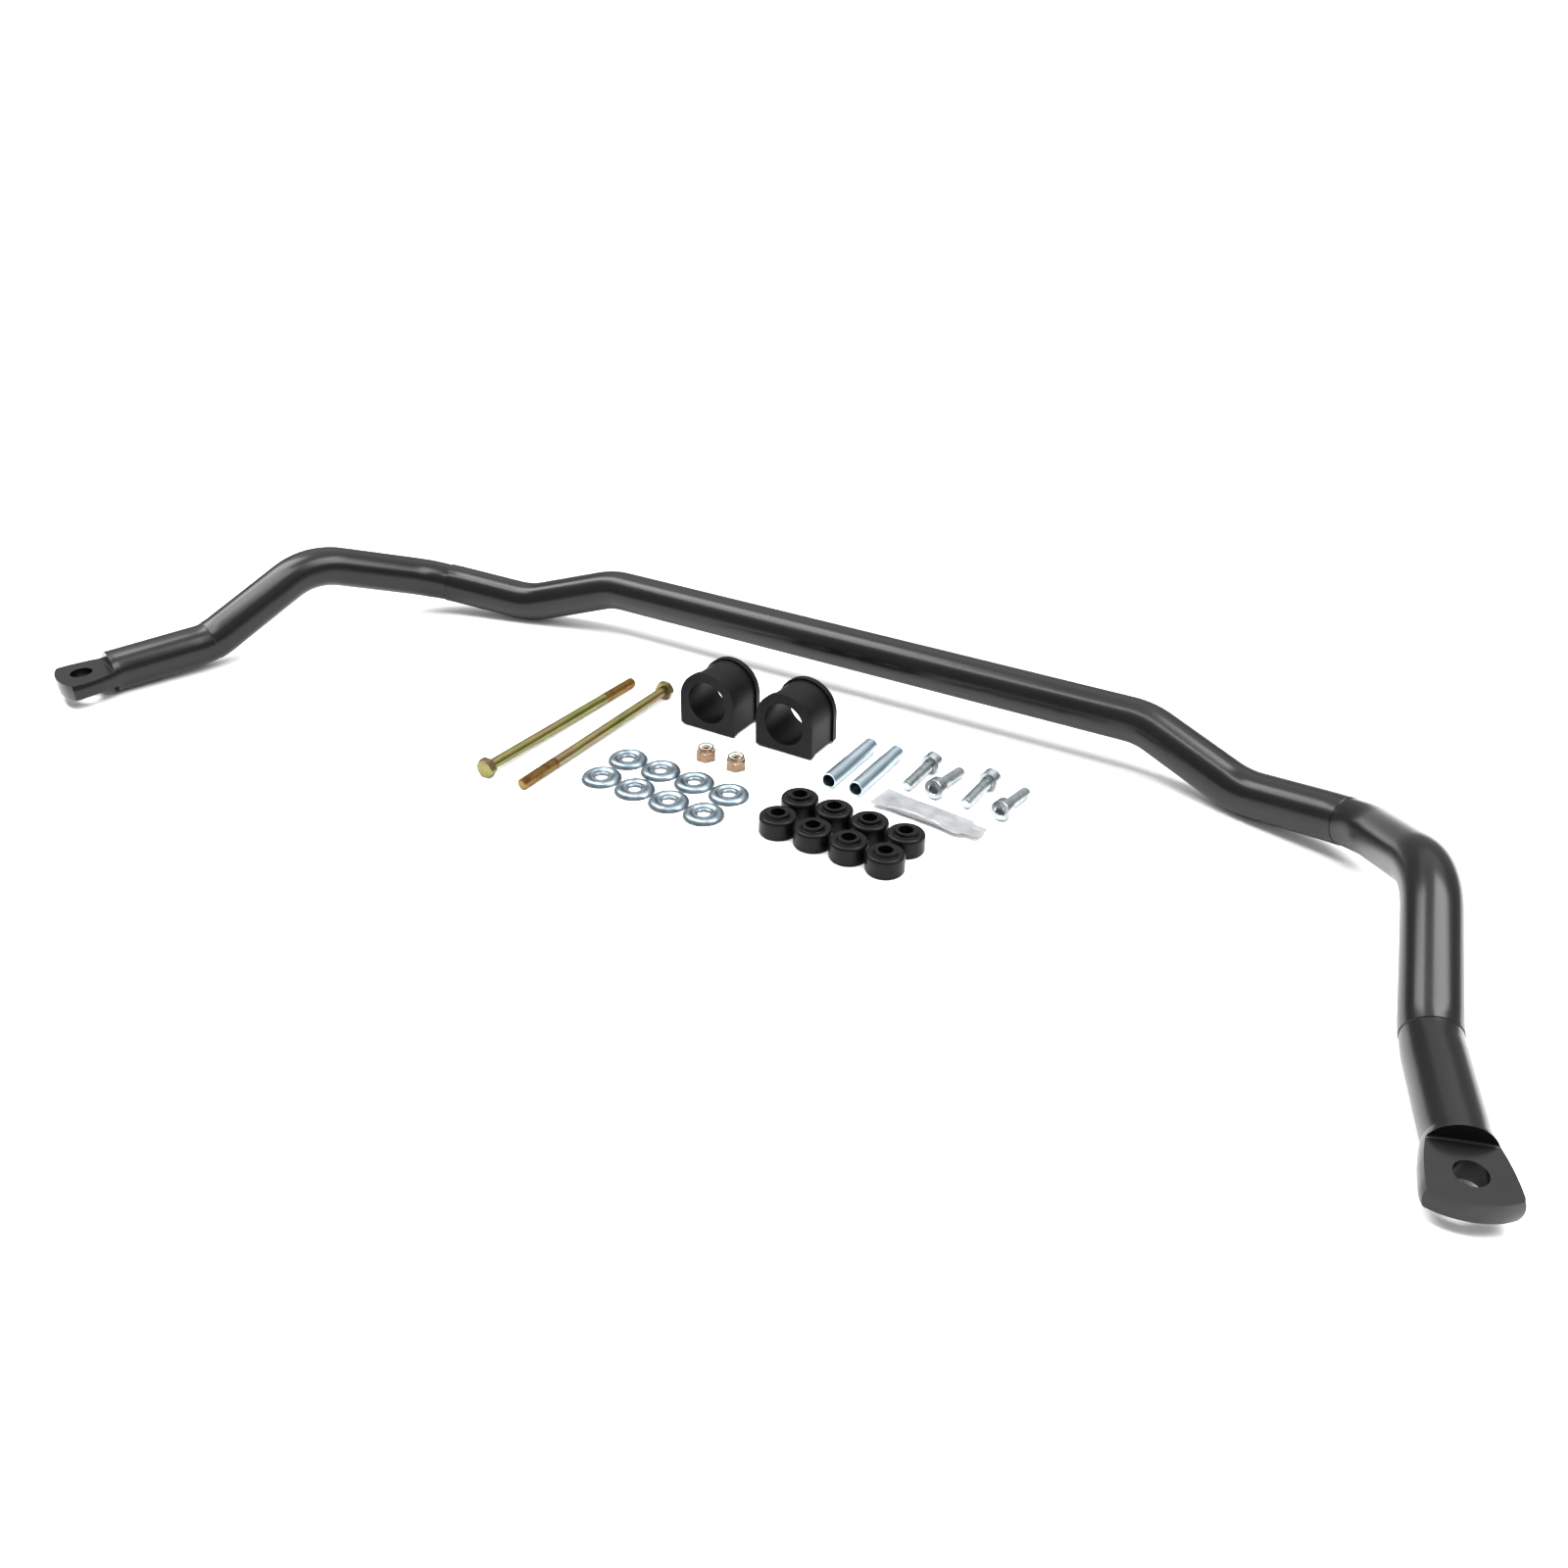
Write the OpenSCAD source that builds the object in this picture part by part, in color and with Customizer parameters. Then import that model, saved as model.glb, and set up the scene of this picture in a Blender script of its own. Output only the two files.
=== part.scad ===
// Sway bar kit: a bent torsion bar with flat drilled ends, laid out flat on the
// floor with its loose D-bushings, end link hardware and grease packet.
// Millimetres. X runs along the straight run, the arms reach towards -Y, Z is up.

/* [Bar] */

// Diameter of the round bar
bar_d = 32; // [20:0.5:40]
// Centre of the bar to the first bend, along the straight run
run_half = 230; // [150:1:320]
// Height of the straight run's axis above the floor
run_z = 37.4; // [20:0.2:80]
// Centreline radius of every bend
bend_r = 60; // [50:1:80]
// Half length of the middle section that the two arms twist against
middle_half = 60; // [30:1:120]
// Corner of the second bend, where the arm dips under the run: x, y, z
bend_2 = [305, -19, 15]; // [-400:0.1:600]
// Corner of the third bend, where the arm climbs again
bend_3 = [388, -43, 27]; // [-400:0.1:600]
// Corner of the fourth bend, where the arm turns forwards and down
bend_4 = [436, -137, 62]; // [-400:0.1:600]
// Corner of the fifth bend, where the arm levels out
bend_5 = [460, -228, 19.2]; // [-400:0.1:600]
// Centre of the eye hole
eye = [492.4, -320, 15.2]; // [-400:0.1:600]

/* [Eye] */

// Width of the flat pad
pad_w = 45; // [36:0.5:60]
// Thickness of the flat pad
pad_t = 12; // [6:0.5:16]
// Pad from its step to the hole centre
pad_back = 20; // [14:0.5:40]
// Hole centre to the end of the pad
pad_front = 18.5; // [14:0.5:30]
// Radius of the curved end
pad_end_r = 44; // [22:1:80]
// Diameter of the eye hole
eye_d = 16; // [8:0.5:20]
// Length over which the pad flares to its full width
flare_l = 30; // [5:1:36]

/* [D-bushings] */

// Width over the rims
bushing_w = 47; // [38:0.5:70]
// Height over the rims
bushing_h = 46.5; // [38:0.5:70]
// Length along the bore
bushing_l = 35.5; // [20:1:50]
// Width of each end rim
rim_l = 4.5; // [2:0.5:10]
// How far the waist sits inside the rims
rim_step = 1.5; // [1:0.5:6]
// Bore clearance on the radius
bushing_gap = 0.05; // [0:0.01:0.5]

/* [End links] */

// Diameter of the link bolts
bolt_d = 8; // [6:0.5:12]
// Length of a link bolt under its head
bolt_l = 166; // [100:1:220]
// Width across flats of the hex heads and lock nuts
hex_af = 13; // [10:0.5:19]
// Height of the link bolt's head
head_h = 5.5; // [4:0.1:8]
// Height of the lock nut's hexagon
nut_h = 7; // [5:0.1:12]
// Height of the lock nut's collar
collar_h = 3.4; // [1:0.1:5]
// Outer diameter of a cup washer
washer_d = 28.6; // [20:0.2:40]
// Hole in the washers
washer_hole = 9; // [8:0.2:14]
// Outer diameter of a grommet
grommet_d = 25.4; // [20:0.2:40]
// Height of a grommet without its boss
grommet_h = 13.6; // [8:0.2:24]
// Diameter of the boss that centres a grommet in the eye
boss_d = 15; // [11:0.2:20]
// Height of the boss
boss_h = 1.8; // [0.5:0.1:4]
// Hole in the grommets
grommet_hole = 9.4; // [8:0.2:14]
// Outer diameter of the spacer sleeves
sleeve_d = 11.2; // [9:0.1:20]
// Bore of the spacer sleeves
sleeve_bore = 9; // [8:0.1:14]
// Length of the spacer sleeves
sleeve_l = 62; // [20:1:120]

/* [Socket screws] */

// Diameter of the screws
screw_d = 8; // [6:0.5:12]
// Length of a screw under its head
screw_l = 31; // [16:1:60]
// Diameter of the screw's head
cap_d = 14; // [9:0.5:18]
// Height of the screw's head
cap_h = 8; // [5:0.5:12]
// Width across flats of the hex socket
socket_af = 6.4; // [5:0.1:10]
// Depth of the hex socket
socket_deep = 4.6; // [3:0.1:7]

/* [Grease packet] */

// Length of the packet's filled part
packet_l = 56; // [30:1:90]
// Width of the packet
packet_w = 20; // [12:1:40]
// Thickness of the packet where it is full
packet_t = 7; // [4:0.5:12]
// Thickness of the film, and of the sealed ends
film_t = 0.6; // [0.4:0.1:1]

/* [Hidden] */

$fn = 96;
bar_r = bar_d / 2;
// The straight run sits where the kit is centred from front to back.
eye_dir = unit(eye - bend_5);
eye_reach = pad_end_r - (pad_front - pad_end_r) * eye_dir[1];
run_y = (eye_reach - eye[1] - bar_r) / 2;
bends = [[run_half, 0, run_z], bend_2, bend_3, bend_4, bend_5];
chamfer = 0.8;
// A little more than nothing, where two solids have to meet.
lap = 1;
swell = 0.05;
// The lock nut's crimped collar and the nylon ring inside it.
collar_d = hex_af - 1.2;
ring_d = collar_d - 1.8;
ring_h = collar_h - 0.8;
thread_bite = 0.8;
grommet_edge = 2.4;
// Cup washer: metal thickness, height of its ring and widths of its steps.
washer_t = 1.5;
washer_h = 3.6;
washer_steps = [0.9, 2.4, 4.4, 6.2];
// Where the loose pieces lie: x, and y from the straight run.
bushing_at = [[-60, -113.5], [5, -112.5]];
link_bolt_at = [[-152, -248], [-119, -87]];
lock_nut_at = [[-37.5, -148.5], [-12, -148.8]];
sleeve_at = [[57.3, -139], [78.3, -139]];
screw_at = [[107, -84], [125.5, -107], [151.5, -84.5], [175.5, -109]];
screw_turn = -4;
packet_at = [101, -135];
packet_turn = -6;
// Two rows of four: back left piece, distance along and between the rows.
washer_rows = [-82.4, -181, 29.3, 30.6];
grommet_rows = [57.8, -178.4, 26.8, 27.9];
row_turn = -2.4;

function unit(v) = v / norm(v);

// Puts +Z along the line from a to b, with +Y as near to up as it can be.
module along(a, b) {
  d = unit(b - a);
  x = unit(cross([0, 0, 1], d));
  y = cross(d, x);
  multmatrix([
    [x[0], y[0], d[0], a[0]],
    [x[1], y[1], d[1], a[1]],
    [x[2], y[2], d[2], a[2]],
    [0, 0, 0, 1]
  ]) children();
}

// A straight reaches a little way into the bends at its ends.
module straight(a, b) {
  along(a, b) translate([0, 0, -lap]) cylinder(r = bar_r, h = norm(b - a) + 2 * lap);
}

// One bend, tangent to the straights on both sides of its corner. Bending
// swells it by a hair.
module bend(before, corner, after) {
  u = unit(corner - before);
  v = unit(after - corner);
  turn = acos(u * v);
  n = unit(v - u * (u * v));
  c = corner - u * bend_r * tan(turn / 2) + n * bend_r;
  z = cross(-n, u);
  multmatrix([
    [-n[0], u[0], z[0], c[0]],
    [-n[1], u[1], z[1], c[1]],
    [-n[2], u[2], z[2], c[2]],
    [0, 0, 0, 1]
  ]) rotate_extrude(angle = turn) translate([bend_r, 0]) circle(r = bar_r + swell);
}

// Where the straight towards the next point leaves the bend at this corner.
function leave(before, corner, after) =
  corner + unit(after - corner) * bend_r
  * tan(acos(unit(corner - before) * unit(after - corner)) / 2);

// Plan of the flat: it leaves the bar at the bar's width and fans out.
module pad_shape() {
  w = pad_w / 2;
  difference() {
    intersection() {
      polygon([
        [-bar_r, -pad_back - lap], [bar_r, -pad_back - lap], [w, flare_l - pad_back],
        [w, pad_front], [-w, pad_front], [-w, flare_l - pad_back]
      ]);
      translate([0, pad_front - pad_end_r]) circle(r = pad_end_r);
    }
    circle(d = eye_d);
  }
}

// Drilled flat at the end of the arm; the hole is at the origin and the arm
// comes from -Z.
module eye_end() {
  translate([0, pad_t / 2, 0]) rotate([90, 0, 0]) linear_extrude(pad_t) pad_shape();
}

module arm() {
  ends = concat([[middle_half, 0, run_z]], bends, [eye]);
  last = len(ends) - 1;
  translate([0, run_y, 0]) {
    for (i = [1:last - 1]) bend(ends[i - 1], ends[i], ends[i + 1]);
    straight(ends[0] + [lap, 0, 0], leave(ends[2], ends[1], ends[0]));
    for (i = [1:last - 2])
      straight(leave(ends[i - 1], ends[i], ends[i + 1]), leave(ends[i + 2], ends[i + 1], ends[i]));
    straight(leave(ends[last - 2], bend_5, eye), eye - eye_dir * (pad_back + lap));
    along(eye, eye + eye_dir) eye_end();
  }
}

module bar_middle() {
  color("#2a2a2c") translate([-middle_half, run_y, run_z])
    rotate([0, 90, 0]) cylinder(r = bar_r, h = 2 * middle_half);
}

module arm_right() {
  color("#2a2a2c") arm();
}

module arm_left() {
  color("#2a2a2c") mirror([1, 0, 0]) arm();
}

// Upright D with a flat base, drawn smaller by inset except at the base.
module d_shape(inset) {
  r = bushing_w / 2;
  translate([0, bushing_h - r]) circle(r = r - inset);
  translate([inset - r, 0]) square([2 * (r - inset), bushing_h - r]);
}

module bushing(at) {
  color("#1b1c1e") translate([at[0], run_y + at[1] + bushing_l, 0]) rotate([90, 0, 0]) difference() {
    union() {
      linear_extrude(bushing_l) d_shape(rim_step);
      linear_extrude(rim_l) d_shape(0);
      translate([0, 0, bushing_l - rim_l]) linear_extrude(rim_l) d_shape(0);
    }
    translate([0, bushing_h - bushing_w / 2, -1])
      cylinder(r = bar_r + bushing_gap, h = bushing_l + 2);
  }
}

module hexagon(af) {
  circle(d = af / cos(30), $fn = 6);
}

// Shank with a chamfered tip, from the origin along +Z.
module shank(d, l) {
  cylinder(d = d, h = l - chamfer);
  translate([0, 0, l - chamfer]) cylinder(d1 = d, d2 = d - 2 * chamfer, h = chamfer);
}

// Lays a headed fastener on the floor, on its head and its tip. It points to
// the back where side is 1, and to the front where it is -1.
module lie(at, side, head, d, l) {
  dip = asin((head - d) / 2 / l);
  translate([at[0], run_y + at[1], head / 2]) rotate([-side * (90 + dip), 0, 0]) children();
}

module link_bolt(at, side) {
  color("#b9a45a") lie(at, side, hex_af, bolt_d, bolt_l) {
    translate([0, 0, -head_h]) linear_extrude(head_h) hexagon(hex_af);
    shank(bolt_d, bolt_l);
  }
}

module socket_screw(at, side) {
  color("#c9cdd0") translate([at[0], run_y + at[1], 0]) rotate([0, 0, screw_turn])
    lie([0, -run_y], side, cap_d, screw_d, screw_l) {
      difference() {
        translate([0, 0, -cap_h]) cylinder(d = cap_d, h = cap_h);
        translate([0, 0, -cap_h - lap]) linear_extrude(socket_deep + lap) hexagon(socket_af);
      }
      shank(screw_d, screw_l);
    }
}

module lock_nut(at) {
  color("#c8a27a") translate([at[0], run_y + at[1], 0]) difference() {
    union() {
      linear_extrude(nut_h) hexagon(hex_af);
      translate([0, 0, nut_h]) cylinder(d = collar_d, h = collar_h);
    }
    translate([0, 0, -lap]) cylinder(d = bolt_d - 0.1, h = nut_h + collar_h);
    translate([0, 0, nut_h]) cylinder(d = ring_d, h = collar_h + lap);
  }
}

module nylon_ring(at) {
  color("#d8dcd8") translate([at[0], run_y + at[1], nut_h]) difference() {
    cylinder(d = ring_d, h = ring_h);
    translate([0, 0, -lap]) cylinder(d = bolt_d - thread_bite, h = ring_h + 2 * lap);
  }
}

// Pressed cup: a dish with the hole, a raised ring round it and a skirt at the rim.
module cup_washer(column, row) {
  r = washer_d / 2;
  h = washer_hole / 2;
  low = washer_steps[0];
  mid = low + washer_t;
  color("#c3ccd2") place_in_row(washer_rows, column, row) rotate_extrude() polygon([
    [h, low], [h, mid], [h + washer_steps[1], mid],
    [h + washer_steps[2], washer_h], [h + washer_steps[3], washer_h],
    [r - 0.6, 1.2], [r, 0], [r - washer_t, 0],
    [h + washer_steps[3], washer_h - washer_t], [h + washer_steps[2], washer_h - washer_t],
    [h + washer_steps[1], low]
  ]);
}

module grommet(column, row) {
  r = grommet_d / 2;
  h = grommet_hole / 2;
  edge = grommet_edge;
  color("#161719") place_in_row(grommet_rows, column, row) rotate_extrude() {
    translate([h, 0]) square([r - h - 1, grommet_h - edge]);
    translate([h, 0]) square([r - h - edge, grommet_h]);
    translate([h, 0]) square([boss_d / 2 - h, grommet_h + boss_h]);
    translate([h, 1]) square([r - h, grommet_h - edge - 1]);
    translate([r - 1, 1]) circle(r = 1);
    translate([r - edge, grommet_h - edge]) circle(r = edge);
  }
}

// Stands a piece in a grid of two rows that starts at its back left corner.
module place_in_row(rows, column, row) {
  translate([rows[0], run_y + rows[1], 0]) rotate([0, 0, row_turn])
    translate([column * rows[2], 0, 0]) rotate([0, 0, -row_turn])
    translate([0, -row * rows[3], 0]) children();
}

module sleeve(at) {
  color("#b4bfc6") translate([at[0], run_y + at[1], sleeve_d / 2]) rotate([-90, 0, 0]) difference() {
    cylinder(d = sleeve_d, h = sleeve_l);
    translate([0, 0, -1]) cylinder(d = sleeve_bore, h = sleeve_l + 2);
  }
}

// Flat lens across the packet, with its full side up from the floor.
module packet_slice(x, w, t) {
  translate([x, 0, packet_t / 2]) rotate([90, 0, 90]) linear_extrude(0.6)
    scale([w / t, 1]) circle(d = t, $fn = 32);
}

module packet_body(w, t, inset) {
  hull() {
    packet_slice(inset, w + inset / 4, film_t);
    packet_slice(packet_l / 4, w, t);
    packet_slice(packet_l * 3 / 4, w, t);
    packet_slice(packet_l - inset, w, film_t);
  }
}

module place_packet() {
  translate([packet_at[0], run_y + packet_at[1], 0]) rotate([0, 0, packet_turn]) children();
}

// Tube of film around the grease, sealed flat at both ends.
module packet_shell() {
  difference() {
    union() {
      packet_body(packet_w, packet_t, 0);
      translate([-7, -packet_w / 2 - 2, (packet_t - film_t) / 2]) cube([9, packet_w + 4, film_t]);
      translate([packet_l - 1, -packet_w / 2, (packet_t - film_t) / 2]) cube([8, packet_w, film_t]);
      translate([packet_l + 6, -6, (packet_t - film_t) / 2]) cube([13, 12, film_t]);
    }
    packet_body(packet_w - 2 * film_t, packet_t - 2 * film_t, 4);
  }
}

// The film is two sheets welded round their edges; base is where the sheet starts.
module packet_sheet(base) {
  color("#e8eae8", 0.4) place_packet() intersection() {
    packet_shell();
    translate([-packet_l, -packet_l, base]) cube([4 * packet_l, 2 * packet_l, packet_t / 2]);
  }
}

module packet_top() {
  packet_sheet(packet_t / 2);
}

module packet_bottom() {
  packet_sheet(0);
}

module packet_grease() {
  color("#d9dad6") place_packet() packet_body(packet_w - 2 * film_t, packet_t - 2 * film_t, 4);
}

bar_middle();
arm_left();
arm_right();
bushing(bushing_at[0]);  // bushing_1
bushing(bushing_at[1]);  // bushing_2
link_bolt(link_bolt_at[0], 1);  // link_bolt_1
link_bolt(link_bolt_at[1], -1);  // link_bolt_2
lock_nut(lock_nut_at[0]);  // lock_nut_1
lock_nut(lock_nut_at[1]);  // lock_nut_2
nylon_ring(lock_nut_at[0]);  // nylon_ring_1
nylon_ring(lock_nut_at[1]);  // nylon_ring_2
cup_washer(0, 0);  // cup_washer_1
cup_washer(1, 0);  // cup_washer_2
cup_washer(2, 0);  // cup_washer_3
cup_washer(3, 0);  // cup_washer_4
cup_washer(0, 1);  // cup_washer_5
cup_washer(1, 1);  // cup_washer_6
cup_washer(2, 1);  // cup_washer_7
cup_washer(3, 1);  // cup_washer_8
grommet(0, 0);  // grommet_1
grommet(1, 0);  // grommet_2
grommet(2, 0);  // grommet_3
grommet(3, 0);  // grommet_4
grommet(0, 1);  // grommet_5
grommet(1, 1);  // grommet_6
grommet(2, 1);  // grommet_7
grommet(3, 1);  // grommet_8
sleeve(sleeve_at[0]);  // sleeve_1
sleeve(sleeve_at[1]);  // sleeve_2
socket_screw(screw_at[0], -1);  // socket_screw_1
socket_screw(screw_at[1], 1);  // socket_screw_2
socket_screw(screw_at[2], -1);  // socket_screw_3
socket_screw(screw_at[3], 1);  // socket_screw_4
packet_top();
packet_bottom();
packet_grease();
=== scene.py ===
import bpy
from math import radians, sqrt, sin, cos, tan, asin, acos, pi
from mathutils import Vector, Matrix


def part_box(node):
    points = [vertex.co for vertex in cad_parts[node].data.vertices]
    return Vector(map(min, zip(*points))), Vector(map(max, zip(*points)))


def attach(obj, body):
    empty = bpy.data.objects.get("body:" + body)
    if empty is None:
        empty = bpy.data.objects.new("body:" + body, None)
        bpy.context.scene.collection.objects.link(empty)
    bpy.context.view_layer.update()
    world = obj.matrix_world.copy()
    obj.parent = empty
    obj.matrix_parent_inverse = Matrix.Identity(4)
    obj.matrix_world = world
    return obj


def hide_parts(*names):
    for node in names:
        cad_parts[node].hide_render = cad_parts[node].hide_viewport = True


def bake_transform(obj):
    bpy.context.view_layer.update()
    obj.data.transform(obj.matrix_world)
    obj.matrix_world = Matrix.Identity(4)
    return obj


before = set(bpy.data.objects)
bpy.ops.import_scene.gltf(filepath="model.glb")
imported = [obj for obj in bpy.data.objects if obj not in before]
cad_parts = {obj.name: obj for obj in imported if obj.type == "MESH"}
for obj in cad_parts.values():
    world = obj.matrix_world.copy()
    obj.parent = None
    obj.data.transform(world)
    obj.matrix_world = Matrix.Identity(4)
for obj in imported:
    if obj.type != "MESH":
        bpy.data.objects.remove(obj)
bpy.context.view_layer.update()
mm = 0.001
weldGap = 0.002 * mm  # vertices closer than this become one
nearby = 1 * mm  # a vertex this close to a plane counts as on it


# Materials

def hexColor(code):
    channels = [int(code[i:i + 2], 16) / 255 for i in (1, 3, 5)]
    linear = [c / 12.92 if c <= 0.04045 else ((c + 0.055) / 1.055) ** 2.4 for c in channels]
    return (*linear, 1.0)


def addNode(tree, kind, settings=None, links=None):
    # Settings are input values, a ramp's colour stops or the node's own options.
    node = tree.nodes.new(kind)
    for key, value in (settings or {}).items():
        if key == "stops":
            elements = node.color_ramp.elements
            while len(elements) < len(value):
                elements.new(0.5)
            for element, (position, code) in zip(elements, value):
                element.position = position
                element.color = hexColor(code)
        elif key in node.inputs:
            node.inputs[key].default_value = value
        else:
            setattr(node, key, value)
    for key, source in (links or {}).items():
        tree.links.new(source, node.inputs[key])
    return node


def startMaterial(name, shader):
    material = bpy.data.materials.new(name)
    material.use_nodes = True
    tree = material.node_tree
    surface = tree.nodes["Principled BSDF"]
    for key, value in shader.items():
        surface.inputs[key].default_value = value
    place = addNode(tree, "ShaderNodeTexCoord").outputs["Object"]
    return {"material": material, "tree": tree, "surface": surface, "place": place}


def tintPatches(finish, patch, stops, along=1.0):
    # The colour drifts over patches of a real size; along draws them out in Y.
    tree = finish["tree"]
    size, detail = patch
    drawn = addNode(tree, "ShaderNodeMapping", {"Scale": (1.0, along, 1.0)}, {"Vector": finish["place"]})
    cloud = addNode(tree, "ShaderNodeTexNoise", {"Scale": 1 / size, "Detail": detail},
                    {"Vector": drawn.outputs["Vector"]})
    color = addNode(tree, "ShaderNodeValToRGB", {"stops": stops}, {"Fac": cloud.outputs["Fac"]})
    tree.links.new(color.outputs["Color"], finish["surface"].inputs["Base Color"])


def varyOver(finish, patch, value, ends):
    # One of the shader's values drifts between two ends, from patch to patch.
    tree = finish["tree"]
    size, detail = patch
    cloud = addNode(tree, "ShaderNodeTexNoise", {"Scale": 1 / size, "Detail": detail},
                    {"Vector": finish["place"]})
    level = addNode(tree, "ShaderNodeMapRange", {"To Min": ends[0], "To Max": ends[1]},
                    {"Value": cloud.outputs["Fac"]})
    tree.links.new(level.outputs["Result"], finish["surface"].inputs[value])


def relief(finish, layers):
    # Each layer of the skin: grain size, detail, depth and strength.
    tree = finish["tree"]
    normal = None
    for size, detail, depth, strength in layers:
        skin = addNode(tree, "ShaderNodeTexNoise", {"Scale": 1 / size, "Detail": detail},
                       {"Vector": finish["place"]})
        links = {"Height": skin.outputs["Fac"]}
        if normal:
            links["Normal"] = normal
        bump = addNode(tree, "ShaderNodeBump", {"Distance": depth, "Strength": strength}, links)
        normal = bump.outputs["Normal"]
    tree.links.new(normal, finish["surface"].inputs["Normal"])


coat = {
    "specular": 0.27, "roughness": (0.22, 0.28), "colors": [(0.35, "#070708"), (0.65, "#0b0b0d")],
    "cloud": (60 * mm, 3), "peel": (2.4 * mm, 2, 0.05 * mm, 0.30), "speckle": (0.7 * mm, 5, 0.03 * mm, 0.45),
}


def powderCoat(name):
    # Cured powder: soft sheen, orange-peel ripple and a fine speckle, drawn coarse enough to show.
    finish = startMaterial(name, {"Specular IOR Level": coat["specular"]})
    tintPatches(finish, coat["cloud"], coat["colors"])
    varyOver(finish, coat["cloud"], "Roughness", coat["roughness"])
    relief(finish, [coat["peel"], coat["speckle"]])
    return finish["material"]


rubber = {
    "specular": 0.12, "bloom": (14 * mm, 6), "sag": (5 * mm, 2, 0.15 * mm, 0.25), "stops": (0.38, 0.68),
    # Darkest and lightest colour, roughness, and the width of the pits.
    "kinds": {
        "polyurethane": ("#050506", "#0a0a0c", (0.40, 0.52), 0.8 * mm),
        "grommet_rubber": ("#050506", "#08080a", (0.30, 0.42), 0.6 * mm),
    },
}


def mouldedRubber(name):
    # Moulded elastomer: dusty bloom over a fine pitted skin.
    dark, light, roughness, pit = rubber["kinds"][name]
    finish = startMaterial(name, {"Specular IOR Level": rubber["specular"]})
    tintPatches(finish, rubber["bloom"], list(zip(rubber["stops"], (dark, light))))
    varyOver(finish, rubber["bloom"], "Roughness", roughness)
    relief(finish, [rubber["sag"], (pit, 4, 0.03 * mm, 0.5)])
    return finish["material"]


plate = {
    "haze": (1.6 * mm, 5), "hazeDepth": 0.02 * mm, "drawn": (0.35 * mm, 2, 0.01 * mm, 0.3), "strength": 0.3,
    # Colours of the plating, roughness, patch size and how far the patches are drawn out.
    "kinds": {
        "yellow_zinc": ([(0.30, "#5e6035"), (0.42, "#706e3f"), (0.52, "#7a7148"), (0.60, "#765f4d"),
                         (0.72, "#666838")], (0.26, 0.42), 9 * mm, 0.25),
        "thread_zinc": ([(0.35, "#6f6236"), (0.50, "#7d6036"), (0.65, "#664a2e")], (0.30, 0.45), 6 * mm, 1.0),
        "gold_zinc": ([(0.35, "#6e5c4a"), (0.60, "#7a6856"), (0.75, "#5e4c3a")], (0.22, 0.36), 5 * mm, 1.0),
        "bright_zinc": ([(0.30, "#5c6870"), (0.55, "#7a858d"), (0.75, "#66727a")], (0.28, 0.40), 8 * mm, 1.0),
        "screw_zinc": ([(0.30, "#868d90"), (0.60, "#a5abad"), (0.75, "#93999b")], (0.22, 0.36), 6 * mm, 1.0),
        "blue_zinc": ([(0.30, "#8596a1"), (0.55, "#a4b2ba"), (0.75, "#93a3ad")], (0.26, 0.40), 7 * mm, 0.2),
    },
}


def platedSteel(name):
    # Zinc plate: drifting passivation tint, satin haze and faint drawn lines.
    colors, roughness, patch, along = plate["kinds"][name]
    finish = startMaterial(name, {"Metallic": 1.0})
    tintPatches(finish, (patch, 3), colors, along)
    varyOver(finish, plate["haze"], "Roughness", roughness)
    relief(finish, [(*plate["haze"], plate["hazeDepth"], plate["strength"]), plate["drawn"]])
    return finish["material"]


milky = {"colors": [(0.3, "#b9bfb6"), (0.7, "#d5d9d0")], "cloud": (2 * mm, 3), "glow": 0.2,
         "glowDepth": 1 * mm, "roughness": 0.4}


def nylon(name):
    # Unfilled nylon: milky, slightly translucent.
    shader = {"Subsurface Weight": milky["glow"], "Subsurface Scale": milky["glowDepth"],
              "Roughness": milky["roughness"]}
    finish = startMaterial(name, shader)
    tintPatches(finish, milky["cloud"], milky["colors"])
    relief(finish, [(*milky["cloud"], 0.05 * mm, 0.3)])
    return finish["material"]


filmLook = {"colors": [(0.3, "#7c7e80"), (0.8, "#8e9092")], "crease": (9 * mm, 6), "alpha": (0.55, 1.0),
            "roughness": 0.16}


def clearFilm(name):
    # Thin polythene: mostly clear, with creases that catch the light.
    finish = startMaterial(name, {"Roughness": filmLook["roughness"]})
    tintPatches(finish, filmLook["crease"], filmLook["colors"])
    varyOver(finish, filmLook["crease"], "Alpha", filmLook["alpha"])
    relief(finish, [(*filmLook["crease"], 0.3 * mm, 0.4), (2.2 * mm, 3, 0.05 * mm, 0.4)])
    return finish["material"]


greaseLook = {"colors": [(0.3, "#aeada9"), (0.7, "#c6c4c0")], "cloud": (7 * mm, 4), "alpha": (0.35, 0.75),
              "roughness": 0.28}


def siliconeGrease(name):
    # Silicone grease: wet, cloudy white with trapped air.
    finish = startMaterial(name, {"Roughness": greaseLook["roughness"]})
    tintPatches(finish, greaseLook["cloud"], greaseLook["colors"])
    varyOver(finish, greaseLook["cloud"], "Alpha", greaseLook["alpha"])
    relief(finish, [(*greaseLook["cloud"], 0.5 * mm, 0.5)])
    return finish["material"]


materials = {"black_powder_coat": powderCoat("black_powder_coat")}
for rubberName in rubber["kinds"]:
    materials[rubberName] = mouldedRubber(rubberName)
for zincName in plate["kinds"]:
    materials[zincName] = platedSteel(zincName)
materials["nylon"] = nylon("nylon")
materials["clear_film"] = clearFilm("clear_film")
materials["grease"] = siliconeGrease("grease")
print("materials ready")


# Modelling helpers

def startClean():
    if bpy.context.object and bpy.context.object.mode != "OBJECT":
        bpy.ops.object.mode_set(mode="OBJECT")
    bpy.ops.object.select_all(action="DESELECT")


def pick(piece):
    startClean()
    piece.select_set(True)
    bpy.context.view_layer.objects.active = piece


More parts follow.
